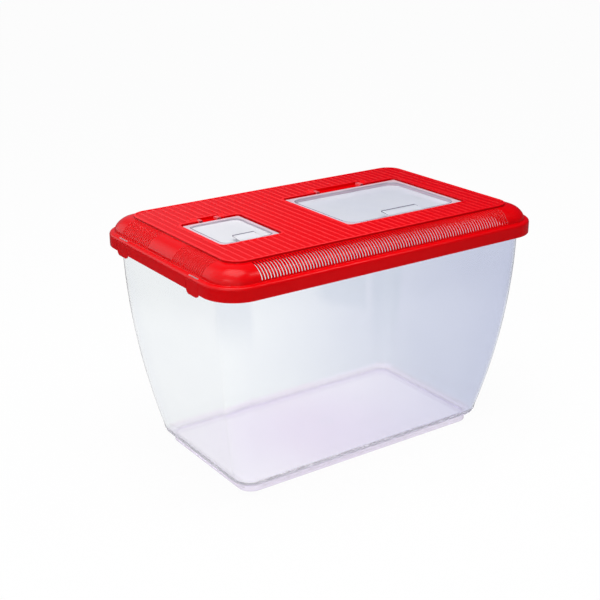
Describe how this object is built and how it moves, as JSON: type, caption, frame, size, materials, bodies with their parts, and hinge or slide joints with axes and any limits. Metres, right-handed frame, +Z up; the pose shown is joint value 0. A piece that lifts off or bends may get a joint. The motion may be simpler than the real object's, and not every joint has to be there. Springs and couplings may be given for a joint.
{
  "type": "plastic pet keeper",
  "caption": "Clear flared plastic tub for small animals with a red push-on vented lid, side clips and two clear hinged doors that lie in recesses of the lid.",
  "frame": {"origin": "middle of the foot, on the surface the keeper stands on", "axes": "+X along the length to the right, +Y from the front to the back, +Z up"},
  "size_m": [0.47, 0.298, 0.3044],
  "materials": {
    "clear_tub": "clear moulded polystyrene with a faint blue tint",
    "red_lid": "glossy red moulded plastic",
    "clear_door": "clear moulded polystyrene"
  },
  "bodies": {
    "tub": {"tub": "clear_tub"},
    "lid": {"lid": "red_lid"},
    "small_door": {"small_door": "clear_door"},
    "small_door_latch": {"small_door_latch": "clear_door"},
    "large_door": {"large_door": "clear_door"},
    "large_door_latch": {"large_door_latch": "clear_door"},
    "clip_left_front": {"clip_left_front": "red_lid"},
    "clip_left_back": {"clip_left_back": "red_lid"},
    "clip_right_front": {"clip_right_front": "red_lid"},
    "clip_right_back": {"clip_right_back": "red_lid"}
  },
  "joints": [
    {"name": "lid_lift", "type": "slide", "parent": "tub", "child": "lid", "axis": [0, 0, 1], "range_m": [0, 0.06]},
    {"name": "small_door_hinge", "type": "hinge", "parent": "lid", "child": "small_door", "pos_m": [-0.1385, 0.04545, 0.3002], "axis": [-1, 0, 0], "range_deg": [0, 130]},
    {"name": "large_door_hinge", "type": "hinge", "parent": "lid", "child": "large_door", "pos_m": [0.07525, 0.07325, 0.3002], "axis": [-1, 0, 0], "range_deg": [0, 130]},
    {"name": "small_latch_flex", "type": "hinge", "parent": "small_door", "child": "small_door_latch", "pos_m": [-0.1385, -0.05225, 0.289], "axis": [-1, 0, 0], "range_deg": [0, 12], "stiffness_Nm_per_rad": 0.6},
    {"name": "large_latch_flex", "type": "hinge", "parent": "large_door", "child": "large_door_latch", "pos_m": [0.07525, -0.07215, 0.289], "axis": [-1, 0, 0], "range_deg": [0, 12], "stiffness_Nm_per_rad": 0.9},
    {"name": "clip_left_front_flex", "type": "hinge", "parent": "lid", "child": "clip_left_front", "pos_m": [-0.234, -0.084, 0.2779], "axis": [0, 1, 0], "range_deg": [0, 10], "stiffness_Nm_per_rad": 1.2},
    {"name": "clip_left_back_flex", "type": "hinge", "parent": "lid", "child": "clip_left_back", "pos_m": [-0.234, 0.084, 0.2779], "axis": [0, 1, 0], "range_deg": [0, 10], "stiffness_Nm_per_rad": 1.2},
    {"name": "clip_right_front_flex", "type": "hinge", "parent": "lid", "child": "clip_right_front", "pos_m": [0.234, -0.084, 0.2779], "axis": [0, -1, 0], "range_deg": [0, 10], "stiffness_Nm_per_rad": 1.2},
    {"name": "clip_right_back_flex", "type": "hinge", "parent": "lid", "child": "clip_right_back", "pos_m": [0.234, 0.084, 0.2779], "axis": [0, -1, 0], "range_deg": [0, 10], "stiffness_Nm_per_rad": 1.2}
  ]
}
